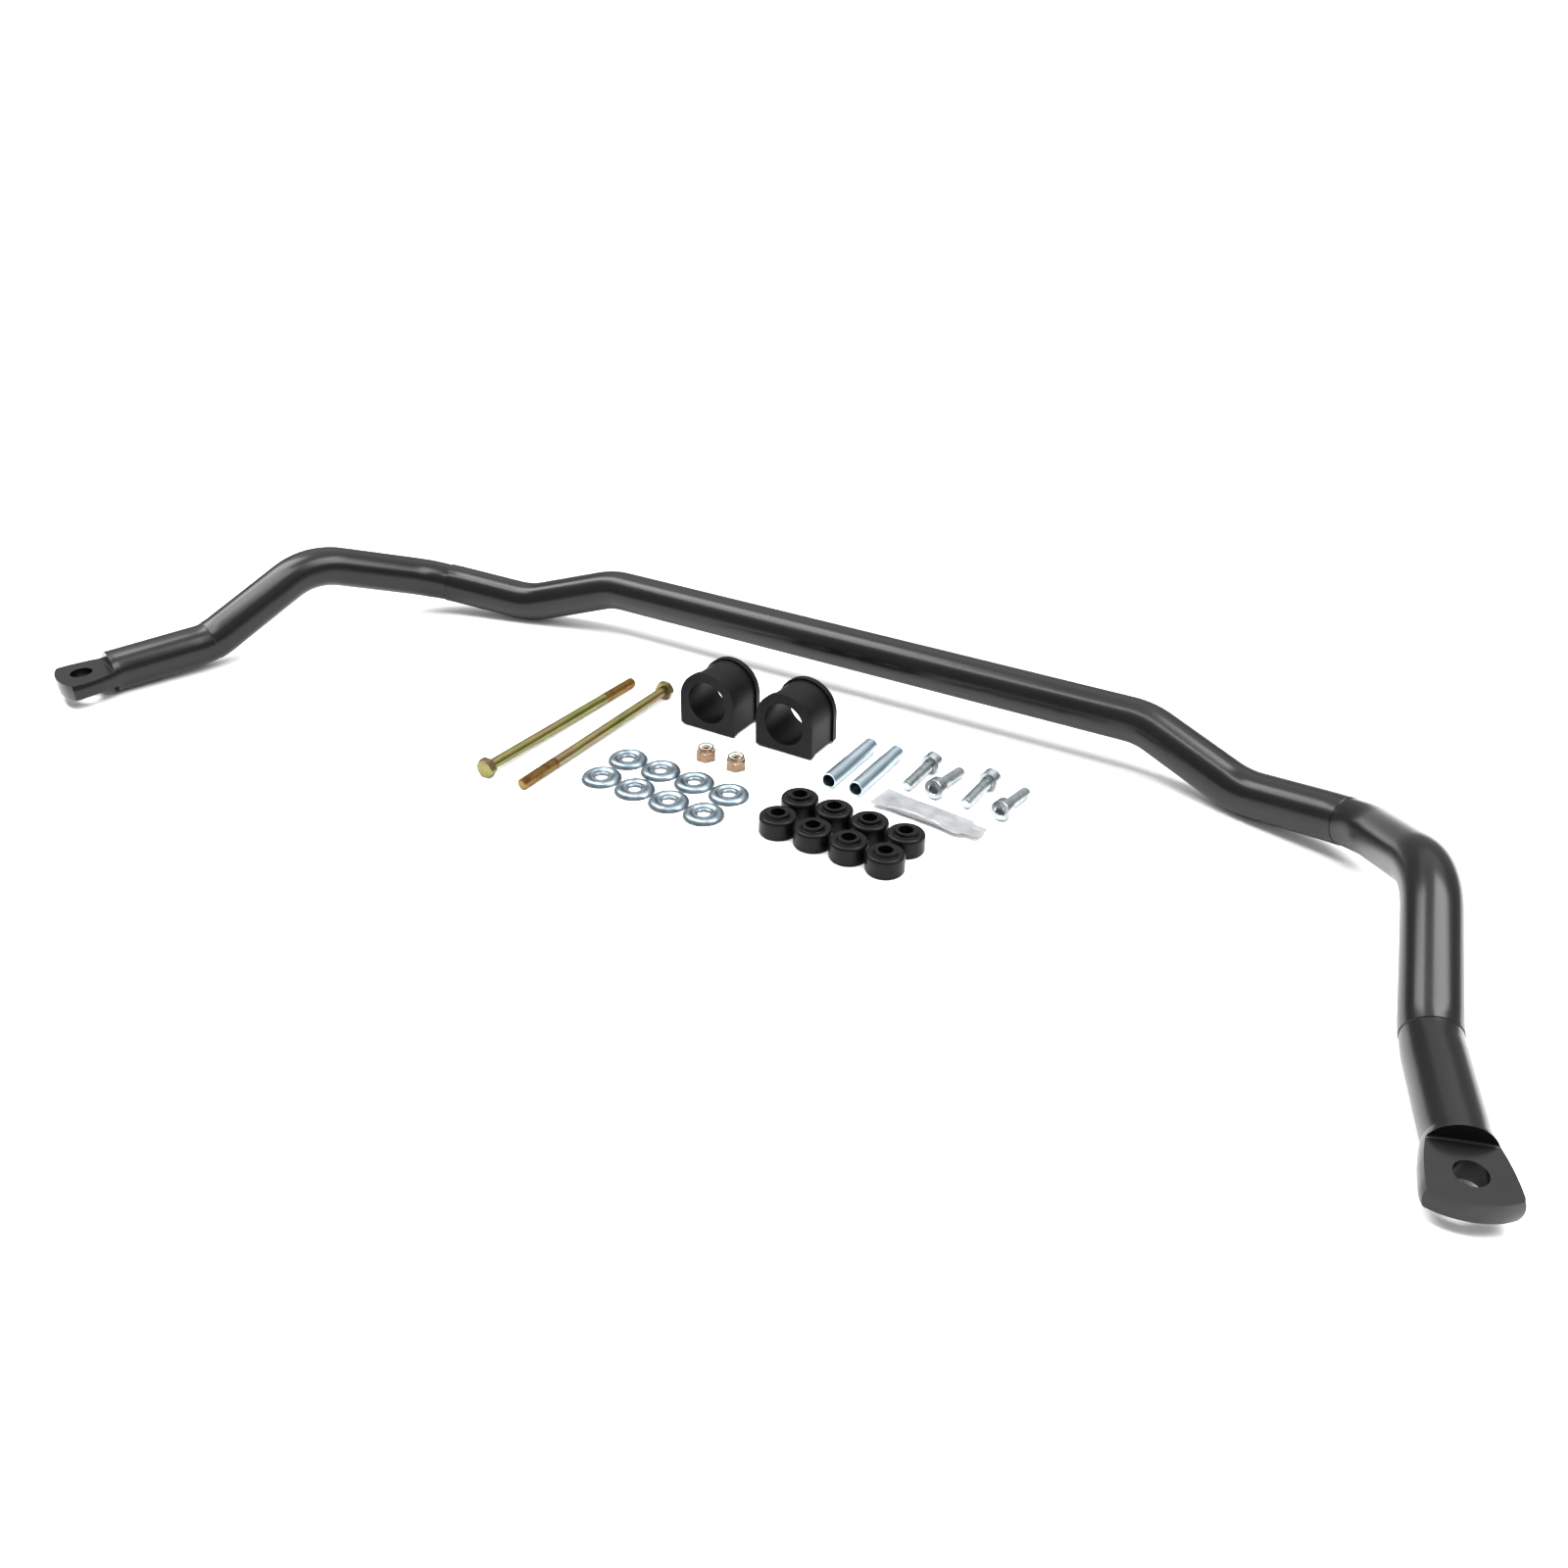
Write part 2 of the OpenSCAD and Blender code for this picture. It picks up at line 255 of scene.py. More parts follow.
def editMode():
    bpy.ops.object.mode_set(mode="EDIT")
    bpy.ops.mesh.select_mode(type="VERT")
    bpy.ops.mesh.select_all(action="SELECT")


def choose(piece, kind, wanted):
    # Selects the vertices or faces that pass a test, and stays in edit mode.
    pick(piece)
    editMode()
    bpy.ops.mesh.select_mode(type=kind)
    bpy.ops.mesh.select_all(action="DESELECT")
    bpy.ops.object.mode_set(mode="OBJECT")
    for part in piece.data.vertices if kind == "VERT" else piece.data.polygons:
        part.select = wanted(part)
    bpy.ops.object.mode_set(mode="EDIT")


def tidyMesh(piece):
    pick(piece)
    editMode()
    bpy.ops.mesh.remove_doubles(threshold=weldGap)
    bpy.ops.mesh.normals_make_consistent(inside=False)
    bpy.ops.object.mode_set(mode="OBJECT")


def applyModifier(piece, kind, settings):
    pick(piece)
    modifier = piece.modifiers.new(kind.lower(), kind)
    for key, value in settings.items():
        setattr(modifier, key, value)
    bpy.ops.object.modifier_apply(modifier=modifier.name)


def smooth(piece, angle=34):
    pick(piece)
    bpy.ops.object.shade_smooth_by_angle(angle=radians(angle))


def evenNormals(piece):
    # Keeps the flats flat: each normal follows the largest face beside it.
    applyModifier(piece, "WEIGHTED_NORMAL", {"keep_sharp": True, "weight": 60})


def combine(piece, tool, operation):
    applyModifier(piece, "BOOLEAN", {"object": tool, "operation": operation, "solver": "EXACT"})
    bpy.data.objects.remove(tool, do_unlink=True)
    tidyMesh(piece)


def roundEdges(piece, width, segments=3, angle=35):
    applyModifier(piece, "BEVEL", {"width": width, "segments": segments, "limit_method": "ANGLE",
                                   "angle_limit": radians(angle), "harden_normals": False})


def settle(piece, matrix=None):
    # Leaves the finished piece at the origin, unrotated, with its place in the mesh.
    pick(piece)
    if matrix is not None:
        piece.matrix_world = matrix
    bpy.ops.object.transform_apply(location=True, rotation=True, scale=True)


def paint(piece, name):
    piece.data.materials.clear()
    piece.data.materials.append(materials[name])


def lathe(name, profile, steps=64, closed=True):
    # One vertex drawn out into the profile (radius, height in mm), then spun round Z.
    startClean()
    bpy.ops.mesh.primitive_plane_add(size=mm)
    piece = bpy.context.object
    piece.name = name
    editMode()
    bpy.ops.mesh.merge(type="CENTER")
    points = [Vector((radius * mm, 0, height * mm)) for radius, height in profile]
    bpy.ops.transform.translate(value=points[0])
    following = points[1:] + ([points[0]] if closed else [])
    for before, after in zip(points, following):
        bpy.ops.mesh.extrude_region_move(TRANSFORM_OT_translate={"value": after - before})
    bpy.ops.mesh.select_all(action="SELECT")
    bpy.ops.mesh.spin(steps=steps, angle=2 * pi, center=(0, 0, 0), axis=(0, 0, 1))
    tidyMesh(piece)
    return piece


def cylinder(name, radius, depth, center, axis="Z", vertices=64):
    startClean()
    turn = {"Z": (0, 0, 0), "Y": (radians(90), 0, 0), "X": (0, radians(90), 0)}[axis]
    bpy.ops.mesh.primitive_cylinder_add(vertices=vertices, radius=radius, depth=depth, location=center,
                                        rotation=turn)
    piece = bpy.context.object
    piece.name = name
    settle(piece)
    return piece


def disc(name, radius, sides, x):
    # A filled ring that faces along X, to be pulled out into a bar.
    startClean()
    bpy.ops.mesh.primitive_circle_add(vertices=sides, radius=radius, fill_type="NGON",
                                      rotation=(0, radians(90), 0), location=(x, 0, 0))
    piece = bpy.context.object
    piece.name = name
    settle(piece)
    return piece


def block(name, low, high):
    startClean()
    center = [(a + b) / 2 for a, b in zip(low, high)]
    bpy.ops.mesh.primitive_cube_add(size=1, location=center)
    piece = bpy.context.object
    piece.name = name
    piece.scale = [b - a for a, b in zip(low, high)]
    settle(piece)
    return piece


def pullAlongX(start, end, wider, thicker):
    # Pulls the selected end of a bar on, and resizes it there.
    bpy.ops.mesh.extrude_region_move(TRANSFORM_OT_translate={"value": (end - start, 0, 0)})
    bpy.ops.transform.resize(value=(1, wider, thicker), center_override=(end, 0, 0))


def copyPiece(piece, name, matrix):
    pick(piece)
    bpy.ops.object.duplicate(linked=False)
    twin = bpy.context.object
    twin.name = name
    settle(twin, matrix)
    return twin


def numbered(name, count):
    # Number one comes last, because the others are copies of it.
    return [name + str(number) for number in (*range(2, count + 1), 1)]


def putAt(first, node, matrix):
    if not node.endswith("_1"):
        return copyPiece(first, node, matrix)
    settle(first, matrix)
    return first


def finishPiece(piece, node, body, slotName, paintName=None):
    if paintName or not piece.data.materials:
        paint(piece, paintName or slotName)
    smooth(piece)
    evenNormals(piece)
    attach(piece, body)
    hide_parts(node)


def nodeCenter(node):
    low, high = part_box(node)
    return [(a + b) / 2 for a, b in zip(low, high)]


def floorPlace(node):
    x, y, z = nodeCenter(node)
    return Matrix.Translation((x, y, 0))


# Sway bar

bar = {
    "radius": 16 * mm, "bendRadius": 60 * mm, "runHeight": 37.4 * mm, "runHalf": 230 * mm,
    # Corners of the right arm and its eye, in mm from the floor under the middle of the run.
    "corners": [(305, -19, 15), (388, -43, 27), (436, -137, 62), (460, -228, 19.2)],
    "eye": (492.4, -320, 15.2), "tail": 60 * mm, "spare": 12 * mm,
    "sides": 72, "step": 4 * mm, "bendSteps": 16,
    "padWidth": 45 * mm, "padThick": 12 * mm, "padBack": 20 * mm, "padFront": 18.5 * mm,
    "padEndRadius": 44 * mm, "holeRadius": 8 * mm, "flareFrom": -25 * mm, "flareTo": 14 * mm,
    "flareSteps": 15, "flareStep": 1.5 * mm, "stepRound": 1.4 * mm, "edge": 0.9 * mm, "dieReach": 40 * mm,
    "dieMark": 0.5 * mm, "dieMarks": (-98 * mm, -317 * mm), "dieFade": 14 * mm, "markClear": 3 * mm,
    # Where extra rings go, in mm past each die mark and past the hole.
    "markRings": (-1.2, -0.5, 0, 0.8, 2.2),
    "padRings": (2, 6, 10, 12.8, 14.4, 15.8, 16.8, 17.6, 18.1, 18.4),
    "twistFrom": 20 * mm, "twistTo": 200 * mm,
}
runY = nodeCenter("bar_middle")[1]


def barPath():
    corners = [Vector((bar["runHalf"], 0, bar["runHeight"]))] + [Vector(c) * mm for c in bar["corners"]]
    ends = [Vector((0, 0, bar["runHeight"]))] + corners + [Vector(bar["eye"]) * mm]
    path = [ends[0]]
    for before, corner, after in zip(ends, ends[1:], ends[2:]):
        coming, going = (corner - before).normalized(), (after - corner).normalized()
        turn = acos(coming.dot(going))
        reach = bar["bendRadius"] * tan(turn / 2)
        inward = (going - coming * coming.dot(going)).normalized()
        hub = corner - coming * reach + inward * bar["bendRadius"]
        for i in range(bar["bendSteps"] + 1):
            angle = turn * i / bar["bendSteps"]
            path.append(hub + (-inward * cos(angle) + coming * sin(angle)) * bar["bendRadius"])
    final = (ends[-1] - ends[-2]).normalized()
    return path + [ends[-1], ends[-1] + final * bar["tail"]]


def eyeSection(along):
    # Half width and half thickness at a distance from the hole, along the arm.
    flare = (along - bar["flareFrom"]) / (bar["flareTo"] - bar["flareFrom"])
    flare = min(max(flare, 0), 1)
    ease = flare * (2 - flare)
    wide = bar["radius"] + (bar["padWidth"] / 2 - bar["radius"]) * ease
    if along > 0:
        curve = bar["padEndRadius"] ** 2 - (along - bar["padFront"] + bar["padEndRadius"]) ** 2
        wide = min(wide, sqrt(max(curve, 0)))
    # The bending dies leave a lip that fades back to the full round.
    for mark in bar["dieMarks"]:
        faded = (along - mark) / bar["dieFade"]
        if 0 <= faded < 1:
            wide -= bar["dieMark"] * (1 - faded)
    return wide, min(wide, bar["radius"])


def straightBar(holeAt):
    # The bar before it is bent: a ring pulled along X, flared at its end.
    piece = disc("bar_right", bar["radius"], bar["sides"], -bar["spare"])
    stop = holeAt + bar["flareFrom"]
    stations = [bar["step"] * i for i in range(int(stop / bar["step"]))]
    for mark in bar["dieMarks"]:
        stations = [x for x in stations if abs(x - holeAt - mark) > bar["markClear"]]
        stations += [holeAt + mark + past * mm for past in bar["markRings"]]
    stations += [stop + bar["flareStep"] * i for i in range(bar["flareSteps"])]
    stations += [holeAt + past * mm for past in bar["padRings"]]
    editMode()
    last, size = -bar["spare"], (bar["radius"], bar["radius"])
    for x in sorted(stations):
        new = eyeSection(x - holeAt)
        pullAlongX(last, x, new[0] / size[0], new[1] / size[1])
        last, size = x, new
    tidyMesh(piece)
    return piece


def flattenEye(piece, holeAt):
    # Forging dies leave the flat and the curved step on both faces.
    reach, heel = bar["dieReach"], holeAt - bar["padBack"]
    for side in (1, -1):
        face = side * bar["padThick"] / 2
        low, high = sorted((face, side * reach))
        die = block("die", (heel, -reach, low), (holeAt + bar["tail"], reach, high))
        choose(die, "VERT", lambda v: abs(v.co.x - heel) < nearby and abs(v.co.z - face) < nearby)
        bpy.ops.mesh.bevel(offset=bar["stepRound"], segments=3)
        combine(piece, die, "DIFFERENCE")
    drill = cylinder("drill", bar["holeRadius"], 2 * reach, (holeAt, 0, 0))
    combine(piece, drill, "DIFFERENCE")
    roundEdges(piece, bar["edge"], 3, 28)
    # Cuts off the spare length, rim and all, where the two halves meet.
    pick(piece)
    editMode()
    bpy.ops.mesh.bisect(plane_co=(0, 0, 0), plane_no=(1, 0, 0), use_fill=True, clear_inner=True)
    bpy.ops.object.mode_set(mode="OBJECT")


def bendBar(piece, path):
    curveData = bpy.data.curves.new("bar_path", "CURVE")
    curveData.dimensions = "3D"
    curveData.twist_mode = "Z_UP"
    spline = curveData.splines.new("POLY")
    spline.points.add(len(path) - 1)
    for point, place in zip(spline.points, path):
        point.co = (*place, 1)
    guide = bpy.data.objects.new("bar_path", curveData)
    bpy.context.collection.objects.link(guide)
    applyModifier(piece, "CURVE", {"object": guide, "deform_axis": "POS_X"})
    bpy.data.objects.remove(guide, do_unlink=True)


def makeBar():
    path = barPath()
    lengths = [(b - a).length for a, b in zip(path, path[1:])]
    holeAt = sum(lengths[:-1])
    right = straightBar(holeAt)
    flattenEye(right, holeAt)
    bendBar(right, path)
    tidyMesh(right)
    settle(right, Matrix.Translation((0, runY, 0)))
    left = copyPiece(right, "bar_left", Matrix.Scale(-1, 4, (1, 0, 0)))
    tidyMesh(left)
    for piece, arm, side in ((right, "arm_right", 1), (left, "arm_left", -1)):
        paint(piece, "black_powder_coat")
        smooth(piece, 30)
        evenNormals(piece)
        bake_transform(piece)
    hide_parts("bar_middle", "arm_right")
    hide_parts("bar_middle", "arm_left")
    print("bar bent")


makeBar()


# D-bushings

bushing = {
    "width": 47 * mm, "height": 46.5 * mm, "length": 35.5 * mm, "rim": 4.5 * mm, "step": 1.5 * mm,
    "bore": 16.05 * mm, "edge": 0.7 * mm, "lip": 0.6 * mm, "foot": 3 * mm, "sides": 96,
}


def bushingRim(radius, center):
    # Half of a drum, pulled down to a flat foot with rounded corners: the first rim.
    middle = (bushing["rim"] - bushing["length"]) / 2
    piece = cylinder("bushing_1", radius, bushing["rim"], (0, middle, center), "Y", bushing["sides"])
    pick(piece)
    editMode()
    bpy.ops.mesh.bisect(plane_co=(0, 0, center), plane_no=(0, 0, 1), use_fill=True, clear_inner=True)
    bpy.ops.mesh.extrude_region_move(TRANSFORM_OT_translate={"value": (0, 0, -center)})
    tidyMesh(piece)
    choose(piece, "VERT", lambda v: v.co.z < nearby and abs(v.co.x) > radius - nearby)
    bpy.ops.mesh.bevel(offset=bushing["foot"], segments=5)
    tidyMesh(piece)
    return piece


def makeBushings():
    radius, length, rim = bushing["width"] / 2, bushing["length"], bushing["rim"]
    center = bushing["height"] - radius
    first = bushingRim(radius, center)
    choose(first, "FACE", lambda face: face.normal.y > 0.9)
    # In to the waist, along it, and out again to the second rim.
    wide, tall = 1 - bushing["step"] / radius, 1 - bushing["step"] / bushing["height"]
    at = rim - length / 2
    steps = ((0, wide, tall), (length - 2 * rim, 1, 1), (0, 1 / wide, 1 / tall), (rim, 1, 1))
    for move, widen, raised in steps:
        bpy.ops.mesh.extrude_region_move(TRANSFORM_OT_translate={"value": (0, move, 0)})
        at += move
        bpy.ops.transform.resize(value=(widen, 1, raised), center_override=(0, at, 0))
    tidyMesh(first)
    roundEdges(first, bushing["edge"], 4, 50)
    bore = cylinder("bore", bushing["bore"], length * 1.5, (0, 0, center), "Y", bushing["sides"])
    combine(first, bore, "DIFFERENCE")
    roundEdges(first, bushing["lip"], 3, 60)
    tidyMesh(first)
    for node in numbered("bushing_", 2):
        piece = putAt(first, node, floorPlace(node))
        finishPiece(piece, node, node, "polyurethane")
    print("bushings made")


makeBushings()


# Fasteners, in mm along the shank from under the head

threadShape = [(0, 0.10), (1, 0.45), (1, 0.62), (0, 0.95)]


def ringThread(radius, start, stop, pitch, depth):
    # Outline of a thread as rounded rings; threadShape gives depth and place in one pitch.
    points = []
    z = start
    while z + pitch < stop:
        points += [(radius - depth * deep, z + pitch * share) for deep, share in threadShape]
        z += pitch
    return points


def hexHead(name, flats, height, chamfer):
    # Hexagon with its outer corners turned off to a chamfer.
    corner, clear = flats / sqrt(3), 0.01
    head = cylinder(name, corner * mm, height * mm, (0, 0, height / 2 * mm), "Z", 6)
    settle(head, Matrix.Rotation(radians(30), 4, "Z"))
    outside, top = corner + 5 * clear, flats / 2 - 0.2
    edge = [(0, -clear), (outside, -clear), (outside, height - chamfer), (top, height), (0, height)]
    mould = lathe("mould", edge, 48, False)
    combine(head, mould, "INTERSECT")
    return head


def layDown(piece, node, toBack, headRadius, radius, length, turn=0):
    # Rests a headed fastener on its head and its tip, where its body lies.
    dip = asin((headRadius - radius) / length)
    way = 1 if toBack else -1
    lean = Matrix.Rotation(-way * (pi / 2 + dip), 4, "X")
    settle(piece, Matrix.Rotation(radians(turn), 4, "Z") @ lean)
    corners = [Vector(corner) for corner in piece.bound_box]
    middle = (corners[0] + corners[6]) / 2
    x, y, z = nodeCenter(node)
    settle(piece, Matrix.Translation((x - middle.x, y - middle.y, headRadius * mm)))


linkBolt = {"radius": 4.0, "length": 166, "threadFrom": 130, "pitch": 1.25, "depth": 0.6, "neckStep": 0.12,
            "flats": 13, "head": 5.5, "chamfer": 0.9, "headEdge": 0.25}


def makeLinkBolts():
    radius, length, chamfer = linkBolt["radius"], linkBolt["length"], linkBolt["chamfer"]
    start, neck = linkBolt["threadFrom"], linkBolt["radius"] - linkBolt["neckStep"]
    outline = [(0, 0), (neck, 0), (neck, start - 1), (radius, start)]
    outline += ringThread(radius, start, length - chamfer, linkBolt["pitch"], linkBolt["depth"])
    outline += [(radius, length - chamfer), (radius - chamfer, length), (0, length)]
    first = lathe("link_bolt_1", outline, 40, False)
    head = hexHead("head", linkBolt["flats"], linkBolt["head"], chamfer)
    settle(head, Matrix.Rotation(pi, 4, "X"))
    roundEdges(head, linkBolt["headEdge"] * mm, 2, 25)
    combine(first, head, "UNION")
    paint(first, "yellow_zinc")
    first.data.materials.append(materials["thread_zinc"])
    for face in first.data.polygons:
        face.material_index = 1 if face.center.z > start * mm else 0
    for node in numbered("link_bolt_", 2):
        piece = putAt(first, node, Matrix.Identity(4))
        layDown(piece, node, node.endswith("1"), linkBolt["flats"] / 2, radius, length)
        finishPiece(piece, node, node, "yellow_zinc")


makeLinkBolts()

capScrew = {
    "radius": 4.0, "length": 31, "plain": 3, "pitch": 1.25, "depth": 0.6, "chamfer": 1.0, "turn": -4,
    "headRadius": 7, "head": 8, "fillet": 0.4, "socketFlats": 6.4, "socketDeep": 4.6,
    "leadRadius": 3.3, "leadDeep": 0.7, "leadClear": 0.3,
    # The head's top edge: in from its side and down from its top.
    "headEdge": [(0.9, 0), (0.35, 0.18), (0, 0.8)], "toBack": "24",
}


def makeCapScrews():
    radius, length, chamfer, fillet = (capScrew[key] for key in ("radius", "length", "chamfer", "fillet"))
    headRadius, top = capScrew["headRadius"], -capScrew["head"]
    outline = [(0, top)] + [(headRadius - inward, top + down) for inward, down in capScrew["headEdge"]]
    outline += [(headRadius, -fillet), (headRadius - fillet, 0), (radius + fillet, 0), (radius, fillet),
                (radius, capScrew["plain"])]
    outline += ringThread(radius, capScrew["plain"], length - chamfer, capScrew["pitch"], capScrew["depth"])
    outline += [(radius, length - chamfer), (radius - chamfer, length), (0, length)]
    first = lathe("socket_screw_1", outline, 48, False)
    key = cylinder("key", capScrew["socketFlats"] / sqrt(3) * mm, capScrew["socketDeep"] * 2 * mm,
                   (0, 0, top * mm), "Z", 6)
    combine(first, key, "DIFFERENCE")
    # A cone leads the key into the socket.
    narrow, deep, over = capScrew["leadRadius"], top + capScrew["leadDeep"], top - capScrew["leadClear"]
    wide = narrow + deep - over
    lead = lathe("lead", [(0, deep), (narrow, deep), (wide, over), (0, over)], 48, False)
    combine(first, lead, "DIFFERENCE")
    for node in numbered("socket_screw_", 4):
        piece = putAt(first, node, Matrix.Identity(4))
        layDown(piece, node, node[-1] in capScrew["toBack"], headRadius, radius, length, capScrew["turn"])
        finishPiece(piece, node, node, "bright_zinc", "screw_zinc")
    print("bolts and screws made")


makeCapScrews()

lockNut = {
    "flats": 13, "height": 7, "chamfer": 0.9, "collar": 3.4, "collarRadius": 5.9, "seat": 1, "edge": 0.2,
    "bore": 3.95, "lead": 0.7, "pitch": 1.25, "rollIn": 0.3, "rollDown": 0.6,
    "ringRadius": 5.0, "ringHeight": 2.6, "ringBore": 3.6, "ringLead": 0.5,
    # Distance in from the side and down from the top, or along the bore.
    "collarEdge": [(0, 1.1), (0.3, 0.45), (1.0, 0)], "threadCut": [(0, 0.3), (0.25, 0.6), (0, 0.95)],
    "ringEdge": (0.3, 0.2),
}


def nutBody():
    # Hexagon and round collar, bored out for the thread and the ring.
    height, radius, bore, ring = (lockNut[key] for key in ("height", "collarRadius", "bore", "ringRadius"))
    top, seat, lead = height + lockNut["collar"], lockNut["seat"], lockNut["lead"]
    body = hexHead("lock_nut_1", lockNut["flats"], height, lockNut["chamfer"])
    outside = [(radius - inward, top - down) for inward, down in lockNut["collarEdge"]]
    collar = lathe("collar", [(0, seat), (radius, seat), *outside, (0, top)], 64, False)
    combine(body, collar, "UNION")
    hollow = [(0, -1), (bore + lead, -1), (bore + lead, 0), (bore, lead)]
    z = lead
    while z < height - 2 * lead:
        hollow += [(bore + deep, z + along) for deep, along in lockNut["threadCut"]]
        z += lockNut["pitch"]
    hollow += [(bore, height), (ring, height), (ring, top - lockNut["rollDown"]),
               (ring - lockNut["rollIn"], top + 1), (0, top + 1)]
    combine(body, lathe("hollow", hollow, 64, False), "DIFFERENCE")
    roundEdges(body, lockNut["edge"] * mm, 2, 38)
    return body


def nylonRing():
    bore, radius, low, lead = (lockNut[key] for key in ("ringBore", "ringRadius", "height", "ringLead"))
    high = low + lockNut["ringHeight"]
    inward, down = lockNut["ringEdge"]
    outline = [(bore, low), (radius, low), (radius, high - down), (radius - inward, high),
               (bore + lead, high), (bore, high - lead)]
    return lathe("nylon_ring_1", outline)


def makeLockNuts():
    parts = ((nutBody(), "lock_nut_", "gold_zinc"), (nylonRing(), "nylon_ring_", "nylon"))
    for nut in numbered("lock_nut_", 2):
        for first, name, slotName in parts:
            node = name + nut[-1]
            piece = putAt(first, node, floorPlace(nut))
            finishPiece(piece, node, nut, slotName)
    print("lock nuts made")


makeLockNuts()


# Cup washers, grommets and sleeves

# Outlines are radius and height, in mm.
washerOutline = [
    (4.5, 1.3), (4.7, 0.95), (5.6, 0.9), (7.2, 1.0), (8.4, 1.5), (9.2, 2.05), (10.4, 2.15), (12.0, 1.3),
    (12.9, 0.1), (13.5, 0.0), (14.1, 0.05), (14.3, 0.45), (14.05, 1.1), (13.3, 2.3), (12.2, 3.15),
    (10.9, 3.62), (9.6, 3.6), (8.8, 3.25), (8.2, 2.75), (7.5, 2.42), (6.9, 2.34), (6.3, 2.52), (5.8, 2.60),
    (5.2, 2.5), (4.75, 2.25), (4.5, 1.9),
]
grommetOutline = [
    (4.7, 0.6), (5.2, 0.0), (11.4, 0.0), (12.2, 0.3), (12.7, 1.1), (12.7, 10.9), (12.45, 12.1),
    (11.7, 13.0), (10.5, 13.4), (9.3, 13.3), (8.5, 13.0), (8.0, 12.95), (7.7, 13.15), (7.55, 13.6),
    (7.5, 14.7), (7.2, 15.25), (6.7, 15.4), (5.4, 15.4), (4.9, 15.1), (4.7, 14.6),
]
smallParts = {"count": 8, "steps": 72, "turnEach": 37}


def makeRow(name, outline, slotName):
    # Each copy is turned a little further, so that no two look the same.
    first = lathe(name + "1", outline, smallParts["steps"])
    for node in numbered(name, smallParts["count"]):
        turn = Matrix.Rotation(radians(smallParts["turnEach"] * int(node[-1])), 4, "Z")
        piece = putAt(first, node, floorPlace(node) @ turn)
        finishPiece(piece, node, node, slotName)


makeRow("cup_washer_", washerOutline, "bright_zinc")
makeRow("grommet_", grommetOutline, "grommet_rubber")

sleeve = {"radius": 5.6, "bore": 4.5, "length": 62, "edge": (0.25, 0.3), "rings": (20, 42)}


def makeSleeves():
    outer, inner, length = sleeve["radius"], sleeve["bore"], sleeve["length"]
    inward, down = sleeve["edge"]
    first, second = sleeve["rings"]
    outline = [(inner, down), (inner + inward, 0), (outer - inward, 0), (outer, down), (outer, first),
               (outer, second), (outer, length - down), (outer - inward, length), (inner + inward, length),
               (inner, length - down), (inner, second), (inner, first)]
    tube = lathe("sleeve_1", outline, 56)
    for node in numbered("sleeve_", 2):
        low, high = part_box(node)
        place = Matrix.Translation(((low[0] + high[0]) / 2, low[1], (low[2] + high[2]) / 2))
        piece = putAt(tube, node, place @ Matrix.Rotation(radians(-90), 4, "X"))
        finishPiece(piece, node, node, "blue_zinc")
    print("small parts made")


makeSleeves()


# Grease packet

packet = {
    "place": (101, -135), "turn": -6, "height": 3.4, "sides": 40, "between": 3,
    "wrinkle": 0.9 * mm, "wrinkleSize": 7 * mm, "wrinkleMiddle": 0.6,
    # Along the packet, half width, half thickness; the ends are pressed flat.
    "film": [
        (-7, 12, 0.3), (-4, 12, 0.35), (0, 11.6, 0.5), (4, 10.8, 1.3), (9, 10.2, 2.5), (15, 9.9, 3.2),
        (25, 9.8, 3.4), (34, 9.8, 3.4), (43, 9.9, 3.1), (49, 10.2, 2.2), (54, 10.6, 1.0), (57, 10.7, 0.5),
        (59, 10.8, 0.4), (61.5, 10.2, 0.4), (63, 8.2, 0.35), (66, 7.4, 0.3), (72, 7.2, 0.3),
        (74.5, 6.6, 0.3),
    ],
    "grease": [
        (5, 6, 0.7), (10, 8.6, 1.9), (17, 9, 2.6), (26, 9, 2.9), (35, 9, 2.8), (44, 8.8, 2.3), (50, 7, 1.0),
    ],
}


def pillow(name, sections):
    piece = disc(name, mm, packet["sides"], 0)
    start, wide, thick = sections[0]
    editMode()
    bpy.ops.transform.resize(value=(1, wide, thick), center_override=(0, 0, 0))
    bpy.ops.transform.translate(value=(start * mm, 0, 0))
    for here, there in zip(sections, sections[1:]):
        steps = [[a + (b - a) * i / packet["between"] for a, b in zip(here, there)]
                 for i in range(packet["between"] + 1)]
        for (x, w, t), (nextX, nextW, nextT) in zip(steps, steps[1:]):
            pullAlongX(x * mm, nextX * mm, nextW / w, nextT / t)
    tidyMesh(piece)
    return piece


def makePacket():
    x, y = packet["place"]
    place = Matrix.Translation((x * mm, runY + y * mm, packet["height"] * mm))
    place = place @ Matrix.Rotation(radians(packet["turn"]), 4, "Z")
    wrinkles = bpy.data.textures.new("film_wrinkles", "CLOUDS")
    wrinkles.noise_scale = packet["wrinkleSize"]
    film = pillow("packet_film", packet["film"])
    applyModifier(film, "DISPLACE", {"texture": wrinkles, "strength": packet["wrinkle"],
                                     "mid_level": packet["wrinkleMiddle"], "texture_coords": "LOCAL"})
    settle(film, place)
    finishPiece(film, "packet_top", "packet", "clear_film")
    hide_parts("packet_top", "packet_bottom")
    grease = pillow("packet_grease_fill", packet["grease"])
    settle(grease, place)
    finishPiece(grease, "packet_grease", "packet", "grease")
    print("packet made")


makePacket()


# Stage

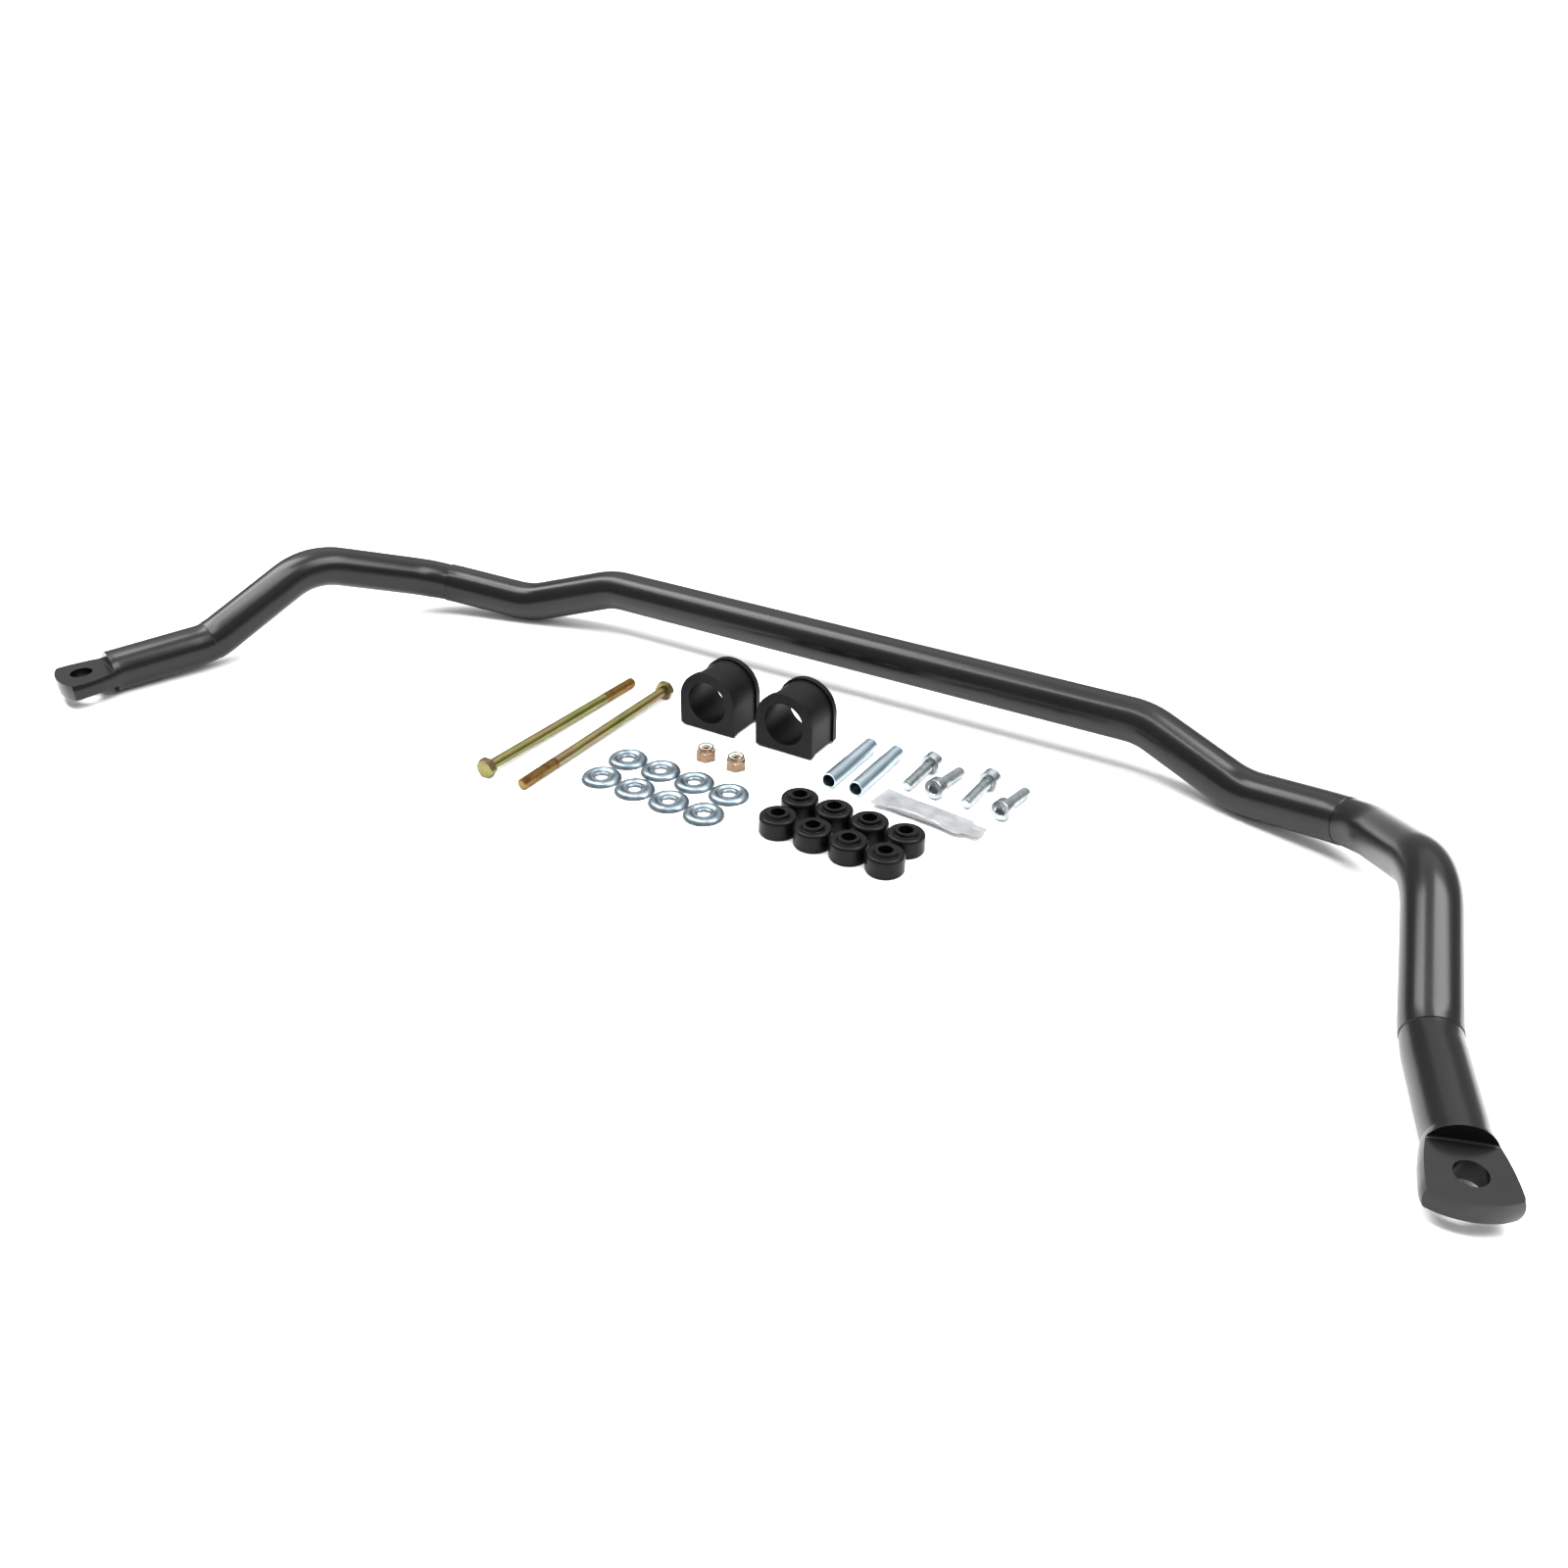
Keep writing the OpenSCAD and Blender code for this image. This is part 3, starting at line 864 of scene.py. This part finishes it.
stage = {
    "floor": [(0.3, "#fbfbfb"), (0.7, "#ffffff")], "floorSize": 400, "floorRoughness": 0.9,
    "floorPatch": (400 * mm, 3), "horizon": 0.5, "zenith": 0.9,
    "sunTip": (-20, -10, 0), "sunPower": 1.2, "sunAngle": 70,
    # Softboxes: where each hangs, what it faces, its width, depth and power.
    "softboxes": {
        "left": ((-1.4, 0.05, 1.5), (-1.4, 0.05, 0), 1.8, 0.5, 36),
        "right": ((1.15, 0.35, 1.5), (1.15, 0.35, 0), 1.7, 0.8, 50),
        "front": ((-0.4, -0.4, 1.5), (-0.4, -0.4, 0), 1.8, 0.22, 20),
    },
}


def makeFloor():
    startClean()
    bpy.ops.mesh.primitive_plane_add(size=stage["floorSize"])
    floor = bpy.context.object
    floor.name = "floor"
    shader = {"Roughness": stage["floorRoughness"], "Specular IOR Level": 0.0}
    finish = startMaterial("studio_floor", shader)
    tintPatches(finish, stage["floorPatch"], stage["floor"])
    floor.data.materials.append(finish["material"])


def makeRoom():
    # Bright overhead and dimmer near the floor.
    world = bpy.data.worlds.new("studio")
    world.use_nodes = True
    sky = world.node_tree
    ray = addNode(sky, "ShaderNodeTexCoord").outputs["Generated"]
    height = addNode(sky, "ShaderNodeSeparateXYZ", links={"Vector": ray}).outputs["Z"]
    level = addNode(sky, "ShaderNodeMapRange", {"To Min": stage["horizon"], "To Max": stage["zenith"]},
                    {"Value": height})
    sky.links.new(level.outputs["Result"], sky.nodes["Background"].inputs["Strength"])
    sky.nodes["Background"].inputs["Color"].default_value = (1, 1, 1, 1)
    bpy.context.scene.world = world
    bpy.context.scene.view_settings.view_transform = "Standard"


def makeLights():
    startClean()
    bpy.ops.object.light_add(type="SUN", rotation=[radians(a) for a in stage["sunTip"]])
    sun = bpy.context.object
    sun.name = "overhead"
    sun.data.energy = stage["sunPower"]
    sun.data.angle = radians(stage["sunAngle"])
    for name, (spot, aim, wide, tall, power) in stage["softboxes"].items():
        startClean()
        bpy.ops.object.light_add(type="AREA", location=spot)
        lamp = bpy.context.object
        lamp.name = name
        lamp.data.shape = "RECTANGLE"
        lamp.data.size = wide
        lamp.data.size_y = tall
        lamp.data.energy = power
        lamp.rotation_euler = (Vector(aim) - Vector(spot)).to_track_quat("-Z", "Y").to_euler()


makeFloor()
makeRoom()
makeLights()
print("stage lit")


# Camera

camera = {"spot": (0.4671, -0.8832, 0.4865), "azimuth": 30.9, "elevation": 29.67, "roll": 0.63,
          "lens": 32.62, "sensor": 36, "nearest": 0.05}


def makeCamera():
    data = bpy.data.cameras.new("camera")
    data.sensor_width = camera["sensor"]
    data.lens = camera["lens"]
    data.clip_start = camera["nearest"]
    viewer = bpy.data.objects.new("camera", data)
    bpy.context.collection.objects.link(viewer)
    x, y, z = camera["spot"]
    turn = Matrix.Rotation(radians(camera["azimuth"]), 4, "Z")
    tip = Matrix.Rotation(radians(90 - camera["elevation"]), 4, "X")
    roll = Matrix.Rotation(radians(camera["roll"]), 4, "Z")
    viewer.matrix_world = Matrix.Translation((x, y + runY, z)) @ turn @ tip @ roll
    bpy.context.scene.camera = viewer


makeCamera()
bpy.context.view_layer.update()
